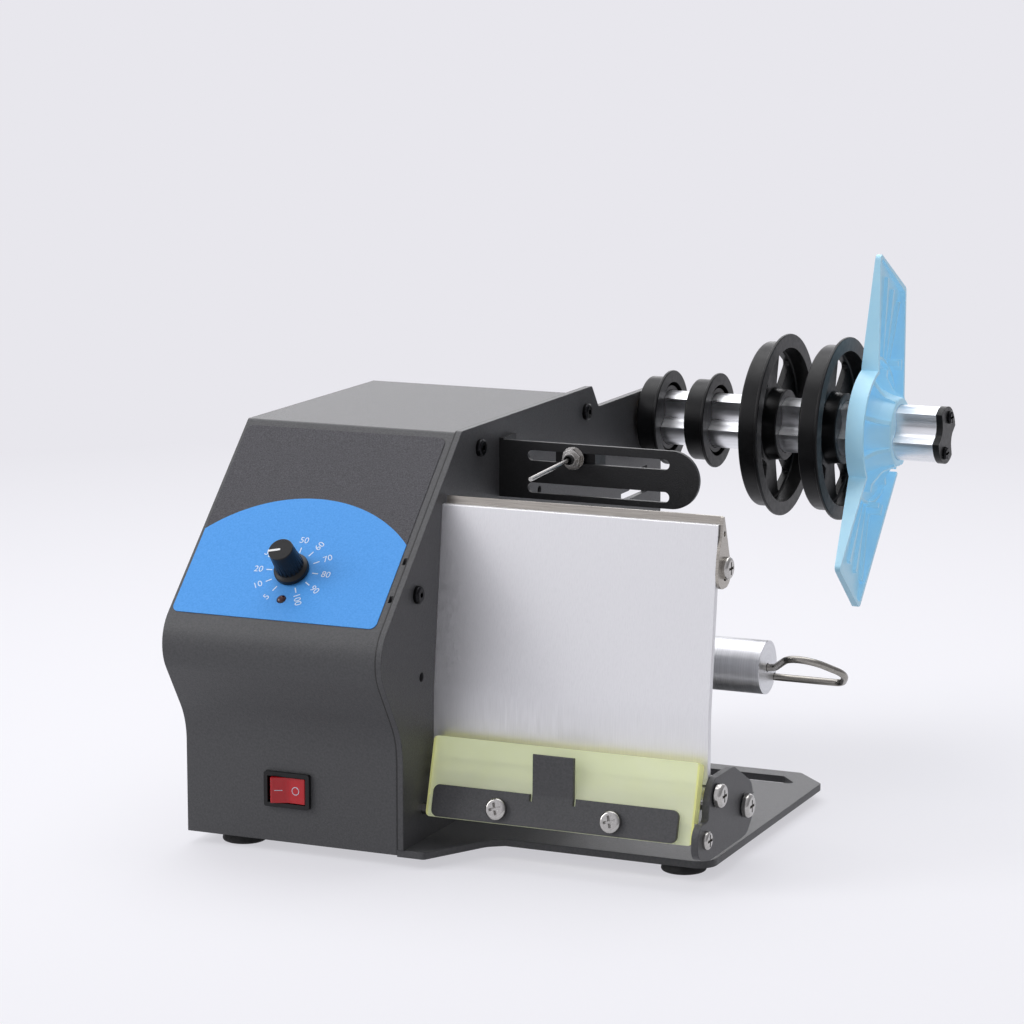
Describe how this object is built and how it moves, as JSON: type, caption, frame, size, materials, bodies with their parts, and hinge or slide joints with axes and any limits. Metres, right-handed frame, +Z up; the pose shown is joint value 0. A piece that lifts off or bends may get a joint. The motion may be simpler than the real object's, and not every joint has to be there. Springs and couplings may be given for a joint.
{
  "type": "label dispenser",
  "caption": "Desk label dispenser: wavy housing with dial and rocker, panel with peel blade, pressure flap, rewind spool and a lobed reel shaft with hubs and a guide blade.",
  "frame": {"origin": "middle of the footprint box on the plane the feet stand on", "axes": "+X to the right from the housing towards the free ends of spool and reel, +Y back from the flap towards the reel, +Z up"},
  "size_m": [0.2602, 0.3326, 0.2317],
  "materials": {
    "charcoal_powder": "fine textured powder coat",
    "black_powder": "fine textured powder coat",
    "satin_panel": "satin anodised sheet",
    "stainless": "brushed stainless",
    "bright_steel": "polished",
    "turned_aluminium": "turned, satin",
    "zinc_steel": "zinc plated",
    "black_plastic": "satin moulded",
    "black_oxide": "black oxide",
    "blue_plastic": "satin moulded, light blue",
    "flap_urethane": "clear yellow green urethane",
    "overlay_film": "printed film, grey above and blue below",
    "rocker_red": "moulded red",
    "led_red": "dark red lens",
    "pointer_white": "white inlay",
    "foot_rubber": "matte",
    "board_green": "lacquered board",
    "motor_grey": "satin",
    "brass_part": "turned"
  },
  "bodies": {
    "machine": {"arm_stiffener": "charcoal_powder", "base_plate": "charcoal_powder", "board_standoffs": "brass_part", "control_board": "board_green", "control_overlay": "overlay_film", "ear_screw": "bright_steel", "end_plate": "charcoal_powder", "end_plate_washers": "black_oxide", "flap_pivot_pins": "bright_steel", "flap_pivot_screws": "bright_steel", "foot_screws": "zinc_steel", "frame_button_screws": "black_oxide", "front_panel": "satin_panel", "gear_motor": "motor_grey", "guide_rods": "bright_steel", "housing_cover": "charcoal_powder", "indicator_led": "led_red", "motor_standoffs": "turned_aluminium", "panel_screws": "black_oxide", "peel_blade": "stainless", "potentiometer": "zinc_steel", "potentiometer_nut": "bright_steel", "power_inlet": "black_plastic", "rear_cover": "charcoal_powder", "reel_bushing": "brass_part", "rocker_bezel": "black_plastic", "rod_screws": "bright_steel", "rubber_feet": "foot_rubber", "sensor_bracket": "black_powder", "side_frame_plate": "charcoal_powder", "small_button_screws": "black_oxide", "spool_bushing": "brass_part", "top_cross_bar": "turned_aluminium"},
    "knob": {"speed_knob": "black_plastic", "knob_pointer": "pointer_white", "potentiometer_shaft": "turned_aluminium"},
    "rocker": {"rocker": "rocker_red"},
    "flap": {"pressure_flap": "flap_urethane", "flap_hinge_bar": "black_oxide", "clamp_bar": "charcoal_powder", "clamp_screws": "bright_steel"},
    "spool": {"rewind_spool": "turned_aluminium", "spool_coupling": "turned_aluminium", "motor_shaft": "stainless"},
    "clip": {"rewind_clip": "stainless"},
    "reel": {"reel_shaft": "turned_aluminium", "reel_end_cap": "black_plastic", "end_cap_screws": "black_oxide", "brake_disc": "black_plastic", "brake_springs": "stainless", "brake_nut": "zinc_steel"},
    "small_hub_near": {"small_hub_inner": "black_plastic"},
    "small_hub_far": {"small_hub_outer": "black_plastic"},
    "large_hub_near": {"large_hub_inner": "black_plastic"},
    "large_hub_far": {"large_hub_outer": "black_plastic"},
    "guide": {"guide_blade": "blue_plastic"},
    "sensor": {"sensor_body": "black_plastic", "sensor_nut": "bright_steel"},
    "lever": {"sensor_lever": "bright_steel"}
  },
  "joints": [
    {"name": "speed_knob_turn", "type": "hinge", "parent": "machine", "child": "knob", "pos_m": [-0.0797, -0.14159, 0.1195], "axis": [0, -0.6947, 0.7193], "range_deg": [-255, 45]},
    {"name": "rocker_tilt", "type": "hinge", "parent": "machine", "child": "rocker", "pos_m": [-0.0807, -0.14271, 0.0277], "axis": [0, 0, 1], "range_deg": [-20, 0]},
    {"name": "flap_swing", "type": "hinge", "parent": "machine", "child": "flap", "pos_m": [0.03229, -0.12679, 0.02084], "axis": [1, 0, 0], "range_deg": [0, 95]},
    {"name": "rewind_spin", "type": "hinge", "parent": "machine", "child": "spool", "pos_m": [0.03229, -0.05041, 0.0759], "axis": [1, 0, 0], "continuous": true},
    {"name": "rewind_clip_pull", "type": "slide", "parent": "spool", "child": "clip", "axis": [1, 0, 0], "range_m": [0, 0.055]},
    {"name": "reel_spin", "type": "hinge", "parent": "machine", "child": "reel", "pos_m": [0.03229, 0.12409, 0.15], "axis": [1, 0, 0], "continuous": true},
    {"name": "small_hub_near_slide", "type": "slide", "parent": "reel", "child": "small_hub_near", "axis": [1, 0, 0], "range_m": [0, 0.008]},
    {"name": "small_hub_far_slide", "type": "slide", "parent": "reel", "child": "small_hub_far", "axis": [1, 0, 0], "range_m": [-0.004, 0.008]},
    {"name": "large_hub_near_slide", "type": "slide", "parent": "reel", "child": "large_hub_near", "axis": [1, 0, 0], "range_m": [-0.014, 0.008]},
    {"name": "large_hub_far_slide", "type": "slide", "parent": "reel", "child": "large_hub_far", "axis": [1, 0, 0], "range_m": [-0.009, 0.005]},
    {"name": "guide_slide", "type": "slide", "parent": "reel", "child": "guide", "axis": [1, 0, 0], "range_m": [-0.004, 0.012]},
    {"name": "sensor_slide", "type": "slide", "parent": "machine", "child": "sensor", "axis": [1, 0, 0], "range_m": [-0.0185, 0.041]},
    {"name": "sensor_lever_swing", "type": "hinge", "parent": "sensor", "child": "lever", "pos_m": [0.0067, -0.05321, 0.15825], "axis": [1, 0, 0], "range_deg": [-12, 12], "stiffness_Nm_per_rad": 0.05}
  ]
}
